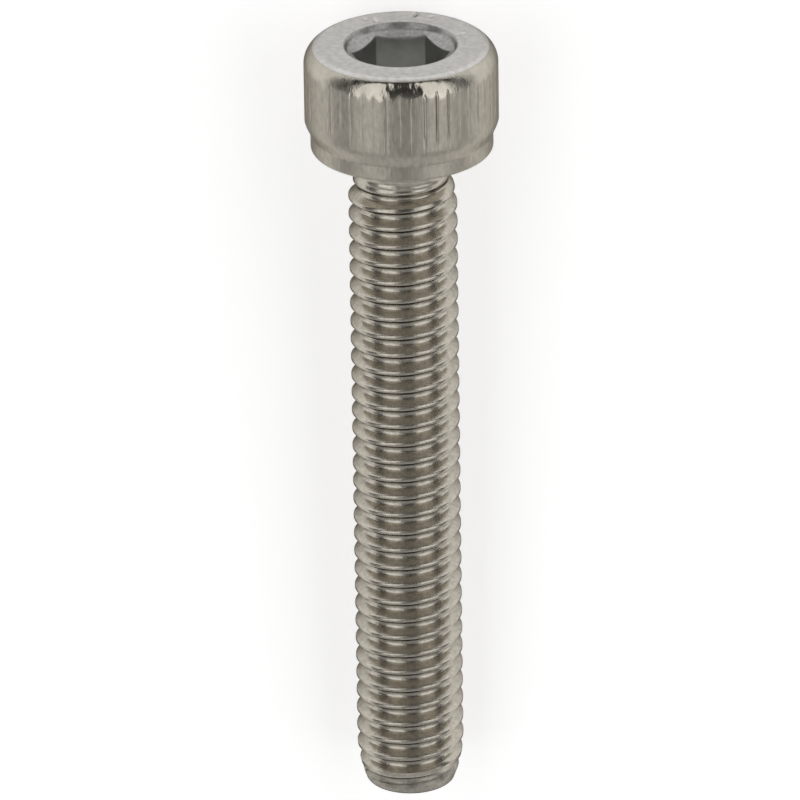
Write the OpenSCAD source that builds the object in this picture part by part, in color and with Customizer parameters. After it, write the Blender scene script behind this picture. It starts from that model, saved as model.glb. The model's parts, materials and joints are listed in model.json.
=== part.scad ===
// Hex socket cap screw with a fully threaded shank, lying on its side as it comes to rest.
// The screw is drawn along its own axis first: the bearing face under the head is at
// zero, the head lies on the minus side and the point on the plus side. It is then laid
// on the floor, where it touches at the head's barrel and at the thread near the point.
// All lengths are in millimetres.

/* [Thread] */
// Nominal thread diameter
thread_d = 4; // [3.6:0.1:4.8]
// Distance from one turn of the thread to the next
pitch = 0.7; // [0.65:0.05:0.9]
// How far the crests stay under the nominal diameter
crest_allowance = 0.12; // [0.02:0.02:0.2]
// Depth of the groove below the pitch line
root_depth = 0.175; // [0.12:0.005:0.2]
// Length under the head
screw_length = 25; // [14:1:30]
// Length under the head over which the thread runs out
runout_h = 0.6; // [0.3:0.1:1.5]

/* [Point] */
// Diameter of the flat end
point_d = 3.2; // [2.4:0.1:3.3]
// Length over which the crests shrink to the flat end
point_h = 1.8; // [0.8:0.1:3]

/* [Head] */
// Diameter of the knurled barrel
head_d = 6.85; // [6.7:0.05:8]
// Height of the head
head_h = 3.85; // [3.3:0.05:5]
// Rounding of the upper rim
rim_r = 0.5; // [0.2:0.05:0.8]
// Diameter of the smooth band below the barrel
band_d = 6.45; // [5.8:0.05:6.6]
// Height of the smooth band
band_h = 0.58; // [0.3:0.02:1]
// Height of the sloping step from the barrel to the band
step_h = 0.46; // [0.1:0.02:0.8]
// Width and height of the small break at the lower edge
lower_break = 0.1; // [0.05:0.01:0.2]

/* [Knurl] */
// Number of straight grooves round the barrel
knurl_count = 48; // [36:1:56]
// Width of a groove at the barrel's surface
knurl_w = 0.1; // [0.04:0.02:0.16]
// Depth of a groove
knurl_depth = 0.05; // [0.02:0.01:0.08]
// Turn of the first groove from the line on which the barrel rests
knurl_turn = 1.25; // [1:0.25:6.5]

/* [Neck] */
// Diameter of the plain neck under the head
neck_d = 3.6; // [3.58:0.01:3.8]
// Length of the plain neck
neck_h = 0.9; // [0.4:0.1:2]
// Fillet between the neck and the bearing face
fillet_r = 0.2; // [0.1:0.05:0.4]

/* [Socket] */
// Hexagon across flats
socket_af = 3; // [2.5:0.1:3.2]
// Depth of the hexagon's walls
socket_depth = 2; // [1.5:0.1:2.3]
// Diameter of the countersunk mouth
mouth_d = 4; // [3.9:0.05:4.6]
// Full angle of the countersink
mouth_angle = 100; // [90:5:120]
// Full angle of the socket's floor
floor_angle = 150; // [140:5:170]

/* [Hidden] */
round_steps = 96;
turn_steps = 30;
arc_steps = 5;
overcut = 0.5;
groove_overcut = 0.05;

head_r = head_d / 2;
band_r = band_d / 2;
neck_r = neck_d / 2;
mouth_r = mouth_d / 2;
socket_r = socket_af / 2;
corner_r = socket_r / cos(30);

// Radii of the thread form, with the flanks at 30 degrees to the radius
flank_angle = 30;
pitch_r = thread_d / 2 - 0.3248 * pitch;
crest_r = (thread_d - crest_allowance) / 2;
root_r = pitch_r - root_depth;
crest_w = pitch / 2 - 2 * (crest_r - pitch_r) * tan(flank_angle);
root_w = pitch / 2 - 2 * (pitch_r - root_r) * tan(flank_angle);

// One pitch of the thread form as [distance along the axis, radius]
form = [
    [-crest_w / 2, crest_r],
    [crest_w / 2, crest_r],
    [(pitch - root_w) / 2, root_r],
    [(pitch + root_w) / 2, root_r]
];
stations = len(form);

// Angular steps from the first row of the thread to its last, short of the flat end
end_land = 0.02;
rows = floor((screw_length - end_land - form[stations - 1][0]) / pitch * turn_steps);
runout_start = neck_h + crest_w + root_w;
stub_z = -0.6;

// Resting place: the barrel's lower edge and one of the last crests both touch the floor
barrel_end = -band_h - step_h;
crest_edges = [
    for (z = [pitch : pitch : screw_length - crest_w], side = [-1, 1])
        z + side * crest_w / 2
];
rest_tilt = atan(min([for (z = crest_edges) (head_r - point_limit(z)) / (z - barrel_end)]));
axis_lift = head_r * cos(rest_tilt) + barrel_end * sin(rest_tilt);
head_reach = head_h * cos(rest_tilt) + (head_r - rim_r) * sin(rest_tilt);
point_reach = screw_length * cos(rest_tilt) + point_d / 2 * sin(rest_tilt);
axis_shift = (head_reach - point_reach) / 2;

// Points of a quarter arc round c, from angle a to angle b
function arc(c, r, a, b) = [
    for (i = [0 : arc_steps])
        let (t = a + (b - a) * i / arc_steps)
            [c[0] + r * cos(t), c[1] + r * sin(t)]
];

// Share of the full thread form that is formed at height z under the head
function formed(z) = max(0, min(1, (z - runout_start) / runout_h));

// Largest radius that the tapering point leaves at height z
function point_limit(z) =
    let (t = max(0, (z - screw_length + point_h) / point_h))
        crest_r - (crest_r - point_d / 2) * t * t;

// A corner of the thread's surface: row i counts steps round the helix, j is the station
function thread_point(i, j) =
    let (
        z = pitch * i / turn_steps + form[j][0],
        r = min(pitch_r + (form[j][1] - pitch_r) * formed(z), point_limit(z)),
        t = 360 * i / turn_steps
    )
        [r * cos(t), r * sin(t), z];

// A ring of corners at height z, turned to start at row i
function ring(r, z, i) = [
    for (k = [0 : turn_steps - 1])
        let (t = 360 * (i + k) / turn_steps)
            [r * cos(t), r * sin(t), z]
];

// Right-hand thread as one closed surface: a strip of stations wound round the axis,
// each turn joined to the next, with a ring at both ends
module thread() {
    strip = [for (i = [0 : rows], j = [0 : stations - 1]) thread_point(i, j)];
    top = len(strip);
    bottom = top + turn_steps;
    last = stations - 1;
    lap = rows - turn_steps;

    function at(i, j) = i * stations + j;
    function next(i, j) = j < last ? at(i, j + 1) : at(i + turn_steps, 0);
    function upper(k) = top + k % turn_steps;
    function lower(k) = bottom + k % turn_steps;

    wound = [
        for (i = [0 : rows - 1], j = [0 : last])
            if (j < last || i < lap)
                each [
                    [at(i, j), next(i, j), next(i + 1, j)],
                    [at(i, j), next(i + 1, j), at(i + 1, j)]
                ]
    ];
    upper_side = [
        for (k = [0 : turn_steps - 2])
            each [
                [upper(k), at(k, 0), at(k + 1, 0)],
                [upper(k), at(k + 1, 0), upper(k + 1)]
            ]
    ];
    lower_side = [
        for (k = [1 : turn_steps - 1])
            each [
                [at(lap + k, last), lower(k), lower(k + 1)],
                [at(lap + k, last), lower(k + 1), at(lap + k + 1, last)]
            ]
    ];

    // The two fans close the places where the strip starts and where it ends
    start_chain = concat(
        [upper(turn_steps - 1), upper(0)],
        [for (j = [0 : last]) at(0, j)],
        [at(turn_steps, 0)]
    );
    end_chain = concat(
        [at(lap, last)],
        [for (j = [0 : last]) at(rows, j)],
        [lower(0), lower(1)]
    );
    start_fan = [
        for (k = [0 : len(start_chain) - 2])
            [at(turn_steps - 1, 0), start_chain[k + 1], start_chain[k]]
    ];
    end_fan = [
        for (k = [0 : len(end_chain) - 2])
            [at(lap + 1, last), end_chain[k], end_chain[k + 1]]
    ];
    upper_end = [[for (k = [0 : turn_steps - 1]) upper(k)]];
    lower_end = [[for (k = [turn_steps - 1 : -1 : 0]) lower(k)]];

    polyhedron(
        points = concat(strip, ring(pitch_r, stub_z, 0), ring(point_d / 2, screw_length, lap)),
        faces = concat(wound, upper_side, lower_side, start_fan, end_fan, upper_end, lower_end)
    );
}

// Head and neck, turned about the axis
module head_blank() {
    outline = concat(
        [[0, -head_h]],
        arc([head_r - rim_r, rim_r - head_h], rim_r, -90, 0),
        [
            [head_r, barrel_end],
            [band_r, -band_h],
            [band_r, -lower_break],
            [band_r - lower_break, 0]
        ],
        arc([neck_r + fillet_r, fillet_r], fillet_r, 270, 180),
        [[neck_r, neck_h], [0, neck_h]]
    );
    rotate_extrude($fn = round_steps)
        polygon(outline);
}

// V-grooves of the knurl, cut from the top to halfway down the step, so that each one
// runs out in the rounding above and in the slope below
module knurl() {
    outer = knurl_w / 2 * (1 + groove_overcut / knurl_depth);
    for (k = [0 : knurl_count - 1])
        rotate(knurl_turn + 360 * k / knurl_count)
            translate([head_r, 0, -head_h])
                linear_extrude(head_h - band_h - step_h / 2)
                    polygon([[-knurl_depth, 0], [groove_overcut, -outer], [groove_overcut, outer]]);
}

// Hexagon socket with its countersunk mouth and shallow pointed floor
module socket() {
    mouth_h = mouth_r / tan(mouth_angle / 2);
    floor_h = socket_r / tan(floor_angle / 2);
    translate([0, 0, -head_h]) {
        translate([0, 0, -overcut])
            rotate(90)
                cylinder(h = socket_depth + overcut, r = corner_r, $fn = 6);
        cylinder(h = mouth_h, r1 = mouth_r, r2 = 0, $fn = round_steps);
        translate([0, 0, socket_depth])
            cylinder(h = floor_h, r1 = socket_r, r2 = 0, $fn = round_steps);
    }
}

module cap_screw() {
    color([0.63, 0.62, 0.59])
        translate([axis_shift, 0, axis_lift])
            rotate([0, 90 + rest_tilt, 0]) {
                difference() {
                    head_blank();
                    socket();
                    knurl();
                }
                thread();
            }
}

cap_screw();
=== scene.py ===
"""Looks of a hex socket cap screw that lies on a pale studio floor.

The screw's skin is drawn along its own axis, in millimetres: the bearing face under the
head is at zero, the head lies on the minus side and the point on the plus side. Its own
x points down to the floor. The piece is then laid where the frame has the screw.
"""

import json
import math

import bpy
import numpy as np
from mathutils import Matrix, Vector, noise


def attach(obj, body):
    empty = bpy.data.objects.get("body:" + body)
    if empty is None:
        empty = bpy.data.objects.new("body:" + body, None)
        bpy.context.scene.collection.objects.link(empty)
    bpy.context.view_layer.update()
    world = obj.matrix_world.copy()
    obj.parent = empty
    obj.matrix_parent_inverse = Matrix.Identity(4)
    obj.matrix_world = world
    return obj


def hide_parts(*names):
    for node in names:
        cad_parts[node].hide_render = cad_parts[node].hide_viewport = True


MM = 0.001
OWN_PLACE = "own_place"
SHINE = "shine"

# Thread; the starts are heights under the head, the run-outs lengths along the axis
PITCH = 0.7
CREST_R = 1.93
CREST_W = 0.118
CREST_ROUND = 0.04
ROOT_R = 1.59
ROOT_W = 0.18
ROOT_ROUND = 0.09
SCREW_LENGTH = 25.0
BLANK_R = 1.74
CREST_START = 0.95
CREST_RUNOUT = 0.85
ROOT_START = 0.6
ROOT_RUNOUT = 0.75
THREAD_SHIFT = 0.035
TURN_STEPS = 72
THREAD_WEAR = 0.004

# Point; the first bands of the flat end, round its broken edge, carry painted shade: a dark steel
# colour draws the dark line there
POINT_R = 1.6
POINT_H = 1.8
POINT_BREAK = 0.05
PAINTED_SHADE_BANDS = 2
CUT_START = 24.4

# Neck; each mark has its height under the head, a spread and a depth
NECK_R = 1.8
FILLET_R = 0.2
STRIP_START = 0.25
NECK_MARKS = ((0.82, 0.07, 0.03), (1.03, 0.045, 0.02))

# Head; the rim's rounding starts at a slope given in degrees
HEAD_R = 3.425
HEAD_H = 3.85
RIM_R = 0.7
RIM_START = 20
RIM_EDGE = 0.04
BAND_R = 3.225
BAND_H = 0.58
STEP_H = 0.46
LOWER_BREAK = 0.08

# Knurl, worn nearly flat except in one sector; its pitch, turn, half width and sectors
# are in degrees
KNURL_COUNT = 48
KNURL_PITCH = 360 / KNURL_COUNT
KNURL_TURN = 1.4
KNURL_HALF_W = 0.84
KNURL_DEPTH = 0.05
KNURL_END = -1.45
KNURL_FADE = 0.3
KNURL_BELOW_END = 0.2
FRESH_SECTOR = 158.5
FRESH_SPREAD = 9.0
WORN_LEAST = 0.1
WORN_VARIES = 0.5
WEAR_GRAIN = (1.3, 1.3, 1.6)

# Dents of the rim and its polish, both strongest at the front; sectors are in degrees
FRONT = 180
RIM_DENT = 0.008
FRONT_DENT = 0.026
DENTED_SECTOR = 14
DENTS_END = -2.9
DENTS_FADE = 0.5
DENT_GRAIN = (0.17, 0.17, 1.1)
POLISHED_START = -3.77
POLISHED_END = -3.22
POLISHED_SECTOR = 36
SECTOR_RAGGED = 24
SECTOR_FADE = 14
END_RAGGED = 0.5
END_FADE = 0.1
START_FADE = 0.03
POLISH_GRAIN = (0.2, 0.2, 0.8)
SIDE_SHINE = 0.4

# Nicks of the top face: place across the screw, length and depth
NICKS = ((2.15, -0.85, 0.3, 0.09), (2.3, -1.25, 0.2, 0.05), (2.7, 0.55, 0.4, 0.12),
         (2.45, 1.1, 0.12, 0.04), (0.85, 2.1, 0.25, 0.08), (-2.45, 0.2, 0.2, 0.03))
NICK_W = 0.06

# Socket
SOCKET_R = 1.5
SOCKET_DEPTH = 2.0
CORNER_R = 0.08
MOUTH_R = 1.984
LIP_FOOT_R = 1.9
LIP_DEPTH = 0.185
COUNTERSINK_SLOPE = math.tan(math.radians(30))
FLOOR_H = 0.4
LIP_RISE = 0.012

# Floor: how far it reaches to each side, in metres, and the light added where it is seen
FLOOR_REACH = 4.0
FLOOR_LIFT = 0.56

# Room: grey from the dark side behind the camera to the pale side over the screw's point
ROOM = ((0.3, 0.05), (0.5, 0.10), (0.75, 0.30), (0.95, 0.60))

# Soft boxes: distance and ends along the screw in metres; turn from upright and spread
# of each one in degrees
LAMP_DISTANCE = 0.5
LAMP_ENDS = (0.25, -1.5)
LAMP_RADIANCE = 0.95
LAMPS = (("softbox_left", -38, 41), ("softbox_right", 44, 41))

# Camera: view angle in degrees, the axis in the picture, and the bearing face's middle
# from the eye as across, down and deep
VIEW_ANGLE = 4.697
AXIS_LEAN = math.radians(25.5)
AXIS_ROLL = math.radians(0.832)
FACE_IN_VIEW = Vector((0.0727, -8.992, 343.72)) * MM

# Places of the finishes in the piece's list of materials; the last is painted shade, a dark colour
# and no finish of the steel
PUNCHED, CHAMFERED, FROSTED, KNURLED, ROLLED, CUT, PAINTED_SHADE = range(7)


def arc(centre, radius, start, end, steps):
    """Points of an arc from one angle to another, in degrees."""
    angles = np.radians(np.linspace(start, end, steps + 1))
    return [(centre[0] + radius * math.cos(a), centre[1] + radius * math.sin(a)) for a in angles]


def line(start, end, steps):
    """Points from start to end, without start itself."""
    share = np.linspace(0, 1, steps + 1)[1:]
    return [(start[0] + (end[0] - start[0]) * s, start[1] + (end[1] - start[1]) * s) for s in share]


def waves(points, stretch):
    """Smooth random values from 0 to 1, with waves about as long as stretch says."""
    return np.array([0.5 + 0.5 * noise.noise(Vector(p)) for p in points / np.array(stretch)])


def bell(distance, spread):
    return np.exp(-((distance / spread) ** 2))


class Skin:
    """The screw's points with their shine, and its faces with their finish."""

    def __init__(self):
        self.points = []
        self.shine = []
        self.faces = []
        self.finishes = []

    def add(self, points, shine=0.0):
        """Adds points and returns their numbers."""
        start = len(self.points)
        self.points.extend(tuple(float(c) for c in p) for p in points)
        self.shine.extend(np.broadcast_to(shine, len(points)).tolist())
        return list(range(start, len(self.points)))

    def face(self, corners, finish):
        self.faces.append(corners)
        self.finishes.append(finish)

    def band(self, first, second, finish):
        """Quads between two rings whose points stand at the same angles."""
        for k in range(len(first)):
            after = (k + 1) % len(first)
            self.face((first[k], first[after], second[after], second[k]), finish)

    def cap(self, ring, centre, finish):
        """Triangles from a centre out to a ring."""
        for k in range(len(ring)):
            self.face((centre, ring[(k + 1) % len(ring)], ring[k]), finish)

    def seam(self, first, first_angles, second, second_angles, finish):
        """Triangles between two rings whose points stand at different angles."""
        i = j = 0
        while i < len(first) or j < len(second):
            next_first = first_angles[i + 1] if i + 1 < len(first) else 360 + first_angles[0]
            next_second = second_angles[j + 1] if j + 1 < len(second) else 360 + second_angles[0]
            a, b = first[i % len(first)], second[j % len(second)]
            if j == len(second) or (i < len(first) and next_first <= next_second):
                self.face((a, first[(i + 1) % len(first)], b), finish)
                i += 1
            else:
                self.face((a, second[(j + 1) % len(second)], b), finish)
                j += 1


def turned(radius, height, angles):
    """Points of a ring about the axis; radius and height may change with the angle."""
    t = np.radians(angles)
    return np.column_stack((radius * np.cos(t), radius * np.sin(t), height + np.zeros(len(t))))


def socket_angles():
    """Columns of the socket in degrees, crowded at the hexagon's six corners."""
    beside = [0.5, 1.0, 1.5, 3, 6, 10, 15, 20, 25]
    offsets = [-d for d in reversed(beside)] + [0] + beside + [30]
    return np.array(sorted((30 + 60 * k + d) % 360 for k in range(6) for d in offsets))


def hexagon_radius(angles):
    """Distance from the axis to the hexagon's walls, with a small fillet in each corner."""
    from_flat = np.radians((angles + 30) % 60 - 30)
    from_corner = np.radians(angles % 60 - 30)
    flat = SOCKET_R / np.cos(from_flat)
    centre = (SOCKET_R - CORNER_R) / math.cos(math.radians(30))
    inside = np.maximum(CORNER_R**2 - (centre * np.sin(from_corner)) ** 2, 0)
    fillet = centre * np.cos(from_corner) + np.sqrt(inside)
    tangent = math.atan((SOCKET_R - CORNER_R) * math.tan(math.radians(30)) / SOCKET_R)
    return np.where(np.abs(from_flat) > tangent, fillet, flat)


def add_socket(skin):
    """Pointed floor, hexagon walls and countersunk mouth; returns the mouth's ring."""
    angles = socket_angles()
    wall = hexagon_radius(angles)
    floor_z = SOCKET_DEPTH - HEAD_H
    tip = skin.add([(0, 0, floor_z + FLOOR_H)])[0]
    rings = []
    for share in (0.1, 0.3, 0.5, 0.7, 0.9, 1.0):
        rings.append(turned(SOCKET_R * share, floor_z + FLOOR_H * (1 - share), angles))
    rings.append(turned(wall, floor_z, angles))
    foot_z = LIP_DEPTH - HEAD_H
    edge = foot_z + (LIP_FOOT_R - wall) * COUNTERSINK_SLOPE
    for share in (0.25, 0.5, 0.75, 0.92):
        rings.append(turned(wall, floor_z + (edge - floor_z) * share, angles))
    punched_bands = len(rings)
    rings.append(turned(wall + 0.003, edge + 0.012, angles))
    rings.append(turned(wall + 0.012, edge - 0.005, angles))
    for share in (0.2, 0.5, 0.8, 0.93):
        radius = wall + (LIP_FOOT_R - wall) * share
        rings.append(turned(radius, edge + (foot_z - edge) * share, angles))
    lip = [(LIP_FOOT_R + 0.012, -0.03), (LIP_FOOT_R + 0.05, -0.12), (MOUTH_R - 0.006, -0.172),
           (MOUTH_R + 0.012, -LIP_DEPTH - LIP_RISE / 3), (MOUTH_R + 0.04, -LIP_DEPTH - LIP_RISE)]
    for radius, rise in lip:
        rings.append(turned(radius, foot_z + rise, angles))
    numbered = [skin.add(r) for r in rings]
    skin.cap(numbered[0][::-1], tip, PUNCHED)
    for place, (first, second) in enumerate(zip(numbered, numbered[1:])):
        skin.band(first, second, PUNCHED if place < punched_bands else CHAMFERED)
    return numbered[-1], angles


def knurl_angles():
    """Columns of the head in degrees, crowded at the knurl's grooves."""
    half = KNURL_HALF_W / 2
    offsets = [-KNURL_HALF_W, -half, 0, half, KNURL_HALF_W, 1.6, 2.6, 3.75, 4.9, 5.9]
    return np.array([KNURL_TURN + KNURL_PITCH * k + d for k in range(KNURL_COUNT) for d in offsets])


def groove_depth(angles, height):
    """Depth of the worn knurl at each column of the ring at this height."""
    half_pitch = KNURL_PITCH / 2
    from_groove = np.abs((angles - KNURL_TURN + half_pitch) % KNURL_PITCH - half_pitch)
    form = KNURL_DEPTH * np.clip(1 - from_groove / KNURL_HALF_W, 0, 1)
    left = WORN_LEAST + WORN_VARIES * waves(turned(HEAD_R, height, angles), WEAR_GRAIN) ** 2
    fresh = bell(angles - FRESH_SECTOR, FRESH_SPREAD)
    above_end = np.clip((KNURL_END - height) / KNURL_FADE, 0, 1)
    ending = KNURL_BELOW_END + (1 - KNURL_BELOW_END) * above_end
    return form * np.clip(left + fresh, 0, 1) * ending


def dent_depth(ring, angles, height):
    """Depth of the rim's small dents, which are deepest at the front."""
    reach = min(max((DENTS_END - height) / DENTS_FADE, 0), 1)
    depth = RIM_DENT + FRONT_DENT * bell(angles - FRONT, DENTED_SECTOR)
    return reach * depth * waves(ring, DENT_GRAIN)


def rim_shine(ring, angles, height):
    """How polished each point of a ring is: the rim, with ragged ends, and most at the front."""
    ragged = waves(ring, POLISH_GRAIN) - 0.5
    sector = POLISHED_SECTOR + SECTOR_RAGGED * ragged
    front = np.clip((sector - np.abs(angles - FRONT)) / SECTOR_FADE, 0, 1)
    below = (POLISHED_END + END_RAGGED * ragged - height) / END_FADE
    above = (height - POLISHED_START) / START_FADE
    return (SIDE_SHINE + (1 - SIDE_SHINE) * front) * np.clip(np.minimum(below, above), 0, 1)


def nick_depth(ring):
    """Depth of the nicks in the top face at each point of a ring."""
    depth = np.zeros(len(ring))
    for x, y, length, deep in NICKS:
        outward = np.array((x, y)) / math.hypot(x, y)
        from_nick = ring[:, :2] - (x, y)
        along = from_nick @ outward
        across = from_nick @ (outward[1], -outward[0])
        depth += deep * bell(along, length / 2) * bell(across, NICK_W)
    return depth


def head_outline():
    """Radius, height and finish of the head's rings, from the top face to the bearing face."""
    start = math.radians(RIM_START)
    rim_centre = (HEAD_R - RIM_R, RIM_R * math.cos(start) - HEAD_H)
    flat_r = rim_centre[0] + RIM_R * math.sin(start)
    barrel_end = -BAND_H - STEP_H
    rings = [(MOUTH_R + 0.1, -HEAD_H - LIP_RISE, FROSTED)]
    face = line((MOUTH_R + 0.2, -HEAD_H), (flat_r - RIM_EDGE, -HEAD_H), 10)
    rings += [(r, z, FROSTED) for r, z in face]
    rim = arc(rim_centre, RIM_R, RIM_START - 90 + 4, 0, 14)
    rings += [(flat_r - RIM_EDGE / 4, -HEAD_H + RIM_EDGE / 20, FROSTED)]
    rings += [(r, z, FROSTED if z < POLISHED_START else KNURLED) for r, z in rim]
    rings += [(r, z, KNURLED) for r, z in line(rim[-1], (HEAD_R, barrel_end - 0.03), 14)]
    rings += [(r, z, KNURLED) for r, z in line((HEAD_R, barrel_end), (BAND_R, -BAND_H), 6)]
    rings += [(BAND_R, -BAND_H + 0.04, KNURLED)]
    rings += [(r, z, KNURLED) for r, z in line((BAND_R, -BAND_H), (BAND_R, -LOWER_BREAK - 0.03), 3)]
    edge = arc((BAND_R - LOWER_BREAK, -LOWER_BREAK), LOWER_BREAK, 0, 90, 4)
    rings += [(r, z, KNURLED) for r, z in edge]
    rings += [(BAND_R - LOWER_BREAK - 0.03, 0, KNURLED), (2.6, 0, KNURLED)]
    return rings


def add_head(skin, mouth, mouth_angles):
    """Top face, rim, knurled barrel, step and band; returns the bearing face's inner ring."""
    angles = knurl_angles()
    numbered = []
    outline = head_outline()
    for radius, height, _ in outline:
        worn = np.minimum(radius, HEAD_R - groove_depth(angles, height))
        ring = turned(worn, height, angles)
        shine = rim_shine(ring, angles, height)
        if height > -HEAD_H:
            ring = turned(worn - dent_depth(ring, angles, height), height, angles)
        else:
            ring[:, 2] += nick_depth(ring)
        numbered.append(skin.add(ring, shine))
    skin.seam(mouth, mouth_angles, numbered[0], angles, FROSTED)
    for first, second, (_, _, finish) in zip(numbered, numbered[1:], outline[1:]):
        skin.band(first, second, finish)
    return numbered[-1], angles


def thread_form():
    """One pitch of the thread as distances along the axis and radii, rounded at crest and root."""
    crest, root = CREST_W / 2, (PITCH - ROOT_W) / 2
    turn = 90 - math.degrees(math.atan((root - crest) / (CREST_R - ROOT_R)))
    reach = math.tan(math.radians(turn / 2))
    upper = arc((crest - CREST_ROUND * reach, CREST_R - CREST_ROUND), CREST_ROUND, 90, 90 - turn, 3)
    lower = arc((root + ROOT_ROUND * reach, ROOT_R + ROOT_ROUND), ROOT_ROUND, 270 - turn, 270, 4)
    down = upper + line(upper[-1], lower[0], 6)[:-1:4] + lower
    return down + [(PITCH - z, r) for z, r in reversed(down)]


def shank_radius(height, form_r):
    """Radius of the shank: marked neck, run-out of the thread, full thread, shrinking crests."""
    crest_share = np.clip((height - CREST_START) / CREST_RUNOUT, 0, 1) ** 2
    root_share = np.clip((height - ROOT_START) / ROOT_RUNOUT, 0, 1) ** 2
    formed = np.where(form_r > BLANK_R, crest_share, root_share)
    past_neck = np.clip((height - ROOT_START) / (CREST_START - ROOT_START), 0, 1)
    core = NECK_R + (BLANK_R - NECK_R) * past_neck
    toward_point = np.clip((height - SCREW_LENGTH + POINT_H) / POINT_H, 0, None)
    limit = CREST_R - (CREST_R - POINT_R) * toward_point**2
    marks = sum(depth * bell(height - middle, spread) for middle, spread, depth in NECK_MARKS)
    return np.minimum(core + (form_r - core) * formed - marks, limit)


def add_shank(skin, bearing, bearing_angles):
    """Bearing face, fillet, neck, the helical thread and the flat end."""
    form = thread_form()
    stations = len(form)
    form_z = np.array([z for z, _ in form]) - THREAD_SHIFT
    form_r = np.array([r for _, r in form])
    angles = np.arange(TURN_STEPS) * 360 / TURN_STEPS
    corner = [(NECK_R + FILLET_R + 0.03, 0)]
    corner += arc((NECK_R + FILLET_R, FILLET_R), FILLET_R, 270, 180, 5)
    fillet = [skin.add(turned(r, z, angles)) for r, z in corner]
    skin.seam(bearing, bearing_angles, fillet[0], angles, ROLLED)
    for first, second in zip(fillet, fillet[1:]):
        skin.band(first, second, ROLLED)

    first_row = math.ceil((STRIP_START - form_z[0]) / PITCH * TURN_STEPS)
    rows = int((SCREW_LENGTH - POINT_BREAK - form_z[-1]) / PITCH * TURN_STEPS) - first_row
    row = first_row + np.arange(rows + 1)
    height = PITCH * row[:, None] / TURN_STEPS + form_z[None, :]
    radius = shank_radius(height, form_r[None, :])
    turn = np.radians(360 / TURN_STEPS * row)[:, None]
    strip = np.stack((radius * np.cos(turn), radius * np.sin(turn), height), axis=2).reshape(-1, 3)
    wear = THREAD_WEAR * waves(strip, (0.5, 0.5, 0.25))
    strip[:, :2] *= 1 - wear[:, None] / ROOT_R
    first_point = skin.add(strip)[0]

    def at(i, j):
        return first_point + i * stations + j

    def after(i, j):
        return at(i, j + 1) if j < stations - 1 else at(i + TURN_STEPS, 0)

    lap = rows - TURN_STEPS
    for i in range(rows):
        for j in range(stations if i < lap else stations - 1):
            finish = CUT if height[i, j] > CUT_START else ROLLED
            skin.face((at(i, j), at(i + 1, j), after(i + 1, j), after(i, j)), finish)

    neck = fillet[-1][first_row % TURN_STEPS:] + fillet[-1][:first_row % TURN_STEPS]
    for k in range(TURN_STEPS - 1):
        skin.face((neck[k], neck[k + 1], at(k + 1, 0), at(k, 0)), ROLLED)
    start_chain = [neck[-1], neck[0]] + [at(0, j) for j in range(stations)] + [at(TURN_STEPS, 0)]
    for a, b in zip(start_chain, start_chain[1:]):
        skin.face((at(TURN_STEPS - 1, 0), a, b), ROLLED)

    last = stations - 1
    end_angles = angles + math.degrees(turn[lap, 0])
    end_rings = [skin.add(turned(r, z, end_angles)) for r, z in
                 arc((POINT_R - POINT_BREAK, SCREW_LENGTH - POINT_BREAK), POINT_BREAK, 0, 90, 3)
                 + [(1.2, SCREW_LENGTH), (0.6, SCREW_LENGTH)]]
    end = end_rings[0]
    for k in range(1, TURN_STEPS):
        beyond = end[(k + 1) % TURN_STEPS]
        skin.face((at(lap + k, last), at(lap + k + 1, last), beyond, end[k]), CUT)
    end_chain = [at(lap, last)] + [at(rows, j) for j in range(stations)] + [end[0], end[1]]
    for a, b in zip(end_chain, end_chain[1:]):
        skin.face((at(lap + 1, last), b, a), CUT)
    # The first bands round the flat end's edge get the painted shade
    for place, (first, second) in enumerate(zip(end_rings, end_rings[1:])):
        skin.band(first, second, PAINTED_SHADE if place < PAINTED_SHADE_BANDS else CUT)
    tip = skin.add([(0, 0, SCREW_LENGTH)])[0]
    skin.cap(end_rings[-1], tip, CUT)


def screw_place(record):
    """Matrix from the screw's own axes, in metres, to the frame."""
    mounts = {m["name"]: m for m in record["mounts"]}
    axis = Vector(mounts["thread"]["axis"]).normalized()
    on_axis = Vector(mounts["thread"]["pos_m"])
    on_face = Vector(mounts["bearing_face"]["pos_m"])
    origin = on_axis + axis * (on_face - on_axis).dot(axis)
    side = Vector((0, 1, 0))
    turn = Matrix((side.cross(axis), side, axis)).transposed()
    return Matrix.Translation(origin) @ turn.to_4x4()


def build_screw(place, finishes):
    skin = Skin()
    mouth, mouth_angles = add_socket(skin)
    bearing, bearing_angles = add_head(skin, mouth, mouth_angles)
    add_shank(skin, bearing, bearing_angles)
    own = np.array(skin.points)
    turn = np.array(place.to_3x3())
    laid = own * MM @ turn.T + np.array(place.translation)
    mesh = bpy.data.meshes.new("cap_screw_skin")
    mesh.from_pydata(laid.tolist(), [], skin.faces)
    attribute = mesh.attributes.new(OWN_PLACE, "FLOAT_VECTOR", "POINT")
    attribute.data.foreach_set("vector", own.ravel())
    mesh.attributes.new(SHINE, "FLOAT", "POINT").data.foreach_set("value", skin.shine)
    for finish in finishes:
        mesh.materials.append(finish)
    mesh.polygons.foreach_set("material_index", skin.finishes)
    mesh.shade_smooth()
    mesh.set_sharp_from_angle(angle=math.radians(50))
    piece = bpy.data.objects.new("cap_screw_skin", mesh)
    bpy.context.scene.collection.objects.link(piece)
    return piece


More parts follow.
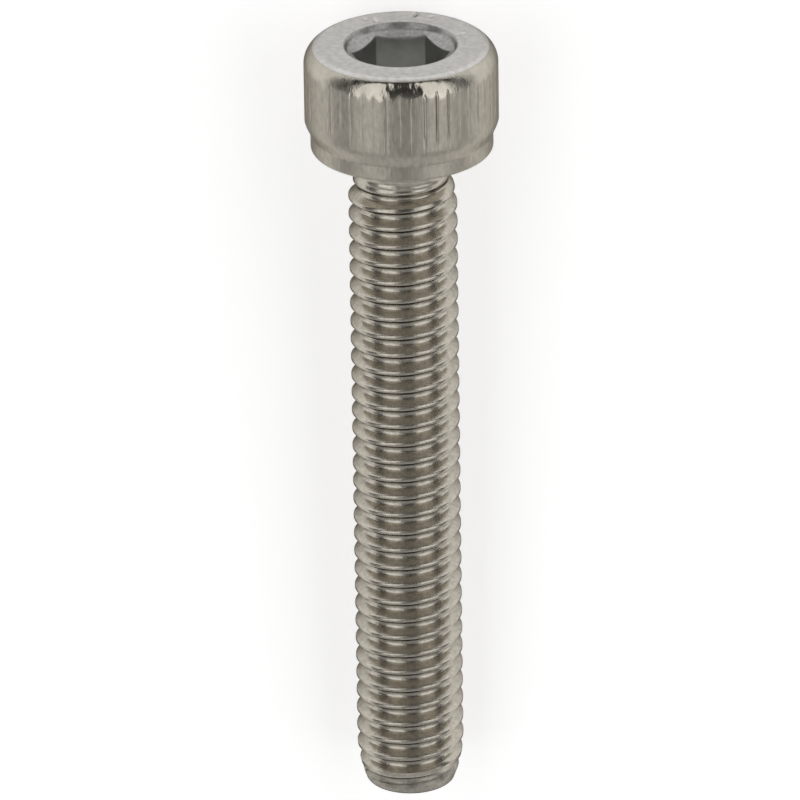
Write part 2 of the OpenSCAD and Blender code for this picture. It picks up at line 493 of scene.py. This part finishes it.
class Finish:
    """One procedural metal. Its patterns are laid in the screw's own millimetres."""

    def __init__(self, name, roughness, edge_tint):
        self.material = bpy.data.materials.new(name)
        self.material.use_nodes = True
        self.nodes = self.material.node_tree.nodes
        self.links = self.material.node_tree.links
        self.shader = self.nodes["Principled BSDF"]
        self.shader.inputs["Metallic"].default_value = 1.0
        self.shader.inputs["Roughness"].default_value = roughness
        self.shader.inputs["Specular Tint"].default_value = (edge_tint, edge_tint, edge_tint, 1)
        self.place = self.attribute(OWN_PLACE).outputs["Vector"]
        self.relief = None

    def attribute(self, name):
        node = self.nodes.new("ShaderNodeAttribute")
        node.attribute_name = name
        return node

    def grain(self, stretch, detail=3.0, rough=0.5):
        """Noise whose grains are about as long as stretch says, in millimetres."""
        mapping = self.nodes.new("ShaderNodeMapping")
        mapping.inputs["Scale"].default_value = tuple(1 / s for s in stretch)
        self.links.new(self.place, mapping.inputs["Vector"])
        texture = self.nodes.new("ShaderNodeTexNoise")
        texture.inputs["Scale"].default_value = 1.0
        texture.inputs["Detail"].default_value = detail
        texture.inputs["Roughness"].default_value = rough
        self.links.new(mapping.outputs["Vector"], texture.inputs["Vector"])
        return texture.outputs["Fac"]

    def tones(self, fac, dark, light):
        """Colour that follows a pattern from dark to light."""
        ramp = self.nodes.new("ShaderNodeValToRGB")
        ramp.color_ramp.elements[0].position = 0.3
        ramp.color_ramp.elements[0].color = (*dark, 1)
        ramp.color_ramp.elements[1].position = 0.7
        ramp.color_ramp.elements[1].color = (*light, 1)
        self.links.new(fac, ramp.inputs["Fac"])
        return ramp.outputs["Color"]

    def colour(self, fac, dark, light):
        self.links.new(self.tones(fac, dark, light), self.shader.inputs["Base Color"])

    def spread(self, fac, low, high):
        """Values from low to high as a pattern goes from 0 to 1."""
        node = self.nodes.new("ShaderNodeMapRange")
        node.inputs["To Min"].default_value = low
        node.inputs["To Max"].default_value = high
        self.links.new(fac, node.inputs["Value"])
        return node.outputs["Result"]

    def polish(self, smooth, dark, light):
        """Lower roughness, less relief and other tones where the skin shines."""
        shine = self.attribute(SHINE).outputs["Fac"]
        rough = self.shader.inputs["Roughness"]
        self.links.new(self.spread(shine, rough.default_value, smooth), rough)
        self.relief = self.spread(shine, 1.0, 0.4)
        mix = self.nodes.new("ShaderNodeMix")
        mix.data_type = "RGBA"
        self.links.new(shine, mix.inputs["Factor"])
        self.links.new(self.shader.inputs["Base Color"].links[0].from_socket, mix.inputs[6])
        self.links.new(self.tones(self.grain((0.3, 0.3, 1.0)), dark, light), mix.inputs[7])
        self.links.new(mix.outputs[2], self.shader.inputs["Base Color"])

    def bump(self, *layers):
        """Relief from patterns, each with its height in millimetres."""
        normal = None
        for fac, height in layers:
            bump = self.nodes.new("ShaderNodeBump")
            bump.inputs["Distance"].default_value = height * MM
            self.links.new(fac, bump.inputs["Height"])
            if self.relief:
                self.links.new(self.relief, bump.inputs["Strength"])
            if normal:
                self.links.new(normal, bump.inputs["Normal"])
            normal = bump.outputs["Normal"]
        self.links.new(normal, self.shader.inputs["Normal"])


def punched_steel():
    finish = Finish("steel_punched", 0.35, 0.8)
    finish.colour(finish.grain((0.5, 0.5, 0.5)), (0.56, 0.56, 0.54), (0.66, 0.66, 0.64))
    finish.bump((finish.grain((0.1, 0.1, 0.8)), 0.004))
    return finish.material


def chamfered_steel():
    finish = Finish("steel_chamfered", 0.38, 0.5)
    finish.colour(finish.grain((0.12, 0.12, 0.12)), (0.32, 0.31, 0.30), (0.48, 0.47, 0.45))
    finish.bump((finish.grain((0.08, 0.08, 0.08)), 0.01))
    return finish.material


def frosted_steel():
    finish = Finish("steel_frosted", 0.42, 0.15)
    finish.colour(finish.grain((0.2, 0.2, 0.2)), (0.61, 0.595, 0.57), (0.745, 0.73, 0.70))
    coarse, fine = finish.grain((0.12, 0.12, 0.12)), finish.grain((0.03, 0.03, 0.03))
    finish.bump((coarse, 0.007), (fine, 0.003))
    return finish.material


def knurled_steel():
    finish = Finish("steel_knurled", 0.39, 0.2)
    finish.colour(finish.grain((0.15, 0.15, 0.3)), (0.43, 0.40, 0.345), (0.545, 0.505, 0.435))
    finish.polish(0.1, (0.52, 0.49, 0.42), (0.64, 0.60, 0.52))
    finish.bump((finish.grain((0.07, 0.07, 0.7)), 0.01), (finish.grain((0.06, 0.06, 0.06)), 0.004))
    return finish.material


def rolled_steel():
    finish = Finish("steel_rolled", 0.25, 0.12)
    finish.colour(finish.grain((0.2, 0.2, 0.1)), (0.45, 0.42, 0.365), (0.60, 0.56, 0.485))
    finish.bump((finish.grain((0.3, 0.3, 0.06)), 0.002), (finish.grain((0.1, 0.1, 0.1)), 0.004))
    return finish.material


def cut_steel():
    finish = Finish("steel_cut", 0.42, 0.3)
    finish.colour(finish.grain((0.2, 0.2, 0.2)), (0.34, 0.32, 0.28), (0.50, 0.47, 0.41))
    finish.bump((finish.grain((0.1, 0.1, 0.1)), 0.014))
    return finish.material


# Painted shade: a dark steel colour that draws the dark line round the point's flat end
def painted_shade_steel():
    finish = Finish("steel_painted_shade", 0.45, 0.3)
    finish.colour(finish.grain((0.1, 0.1, 0.1)), (0.10, 0.09, 0.08), (0.20, 0.19, 0.17))
    finish.bump((finish.grain((0.08, 0.08, 0.08)), 0.01))
    return finish.material


def floor_material():
    """White floor that shows as white to the eye and in the metal, and still takes a shadow."""
    material = bpy.data.materials.new("studio_floor")
    material.use_nodes = True
    nodes, links = material.node_tree.nodes, material.node_tree.links
    nodes.clear()
    out = nodes.new("ShaderNodeOutputMaterial")
    path = nodes.new("ShaderNodeLightPath")
    seen = nodes.new("ShaderNodeMath")
    seen.operation = "MAXIMUM"
    links.new(path.outputs["Is Camera Ray"], seen.inputs[0])
    seen_too = nodes.new("ShaderNodeMath")
    seen_too.operation = "MAXIMUM"
    links.new(path.outputs["Is Glossy Ray"], seen.inputs[1])
    links.new(seen.outputs[0], seen_too.inputs[0])
    links.new(path.outputs["Is Transmission Ray"], seen_too.inputs[1])
    lift = nodes.new("ShaderNodeMath")
    lift.operation = "MULTIPLY"
    lift.inputs[1].default_value = FLOOR_LIFT
    links.new(seen_too.outputs[0], lift.inputs[0])
    glow = nodes.new("ShaderNodeEmission")
    links.new(lift.outputs[0], glow.inputs["Strength"])
    diffuse = nodes.new("ShaderNodeBsdfDiffuse")
    diffuse.inputs["Color"].default_value = (0.85, 0.85, 0.85, 1)
    both = nodes.new("ShaderNodeAddShader")
    links.new(diffuse.outputs[0], both.inputs[0])
    links.new(glow.outputs[0], both.inputs[1])
    links.new(both.outputs[0], out.inputs["Surface"])
    return material


def build_floor():
    mesh = bpy.data.meshes.new("studio_floor")
    square = [(-1, -1), (1, -1), (1, 1), (-1, 1)]
    mesh.from_pydata([(FLOOR_REACH * x, FLOOR_REACH * y, 0) for x, y in square], [], [(0, 1, 2, 3)])
    mesh.materials.append(floor_material())
    floor = bpy.data.objects.new("studio_floor", mesh)
    bpy.context.scene.collection.objects.link(floor)


def light_world():
    """Soft grey room, dark behind the camera and paler over the screw's point."""
    world = bpy.data.worlds.new("studio_room")
    bpy.context.scene.world = world
    world.use_nodes = True
    nodes, links = world.node_tree.nodes, world.node_tree.links
    where = nodes.new("ShaderNodeTexCoord")
    split = nodes.new("ShaderNodeSeparateXYZ")
    links.new(where.outputs["Generated"], split.inputs[0])
    spread = nodes.new("ShaderNodeMapRange")
    spread.inputs["From Min"].default_value = -1
    links.new(split.outputs["X"], spread.inputs["Value"])
    ramp = nodes.new("ShaderNodeValToRGB")
    links.new(spread.outputs["Result"], ramp.inputs["Fac"])
    stops = ramp.color_ramp.elements
    while len(stops) < len(ROOM):
        stops.new(0.5)
    for stop, (where_to, grey) in zip(stops, ROOM):
        stop.position = where_to
        stop.color = (grey, grey, grey, 1)
    links.new(ramp.outputs["Color"], nodes["Background"].inputs["Color"])


def softbox(name, middle, outward, along, width, length, radiance):
    """Soft light that faces against outward, with its length along the given direction."""
    lamp = bpy.data.lights.new(name, "AREA")
    lamp.shape = "RECTANGLE"
    lamp.size = width
    lamp.size_y = length
    lamp.energy = radiance * math.pi * width * length
    box = bpy.data.objects.new(name, lamp)
    bpy.context.scene.collection.objects.link(box)
    turn = Matrix((along.cross(outward), along, outward)).transposed()
    box.matrix_world = Matrix.Translation(middle) @ turn.to_4x4()
    box.visible_camera = False


def light_studio(place):
    """Two long soft boxes beside the camera, in line with the screw."""
    axis = place.to_3x3() @ Vector((0, 0, 1))
    side = place.to_3x3() @ Vector((0, 1, 0))
    up = place.to_3x3() @ Vector((-1, 0, 0))
    shift = axis * (LAMP_ENDS[0] + LAMP_ENDS[1]) / 2
    length = LAMP_ENDS[0] - LAMP_ENDS[1]
    for name, around, spread in LAMPS:
        outward = up * math.cos(math.radians(around)) + side * math.sin(math.radians(around))
        width = 2 * LAMP_DISTANCE * math.tan(math.radians(spread / 2))
        middle = place.translation + outward * LAMP_DISTANCE + shift
        softbox(name, middle, outward, axis, width, length, LAMP_RADIANCE)


def place_camera(place):
    """Camera at the photograph's angle: the axis runs down the picture and away from the eye."""
    along = Vector((
        math.sin(AXIS_ROLL) * math.cos(AXIS_LEAN),
        math.cos(AXIS_ROLL) * math.cos(AXIS_LEAN),
        math.sin(AXIS_LEAN),
    ))
    right = along.cross(Vector((0, 0, 1))).normalized()
    near = along.cross(right)
    in_view = Matrix((along, right, near)).transposed()
    own = place.to_3x3()
    in_frame = Matrix((own.col[2], own.col[1], -own.col[0])).transposed()
    turn = in_frame @ in_view.transposed()
    data = bpy.data.cameras.new("photo_camera")
    data.sensor_width = 36
    data.angle = math.radians(VIEW_ANGLE)
    data.clip_start = 0.01
    camera = bpy.data.objects.new("photo_camera", data)
    bpy.context.scene.collection.objects.link(camera)
    facing = turn @ Matrix.Diagonal((1, -1, -1))
    eye = place.translation - turn @ FACE_IN_VIEW
    camera.matrix_world = Matrix.Translation(eye) @ facing.to_4x4()
    bpy.context.scene.camera = camera


def corners(bounds):
    return [list(corner) for corner in bounds]


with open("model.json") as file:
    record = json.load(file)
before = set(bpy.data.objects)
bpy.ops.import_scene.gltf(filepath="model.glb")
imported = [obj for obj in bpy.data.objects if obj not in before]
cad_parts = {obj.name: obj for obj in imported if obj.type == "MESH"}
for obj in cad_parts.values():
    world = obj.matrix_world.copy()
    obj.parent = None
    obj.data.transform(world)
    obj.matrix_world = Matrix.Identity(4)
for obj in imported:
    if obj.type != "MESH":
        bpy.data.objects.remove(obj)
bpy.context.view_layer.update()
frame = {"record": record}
bpy.context.scene.view_settings.view_transform = "Standard"
place = screw_place(frame["record"])
place_camera(place)
build_floor()
light_world()
light_studio(place)
finishes = [punched_steel(), chamfered_steel(), frosted_steel(), knurled_steel(), rolled_steel(),
            cut_steel(), painted_shade_steel()]
screw = build_screw(place, finishes)
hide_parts("cap_screw")
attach(screw, "root")
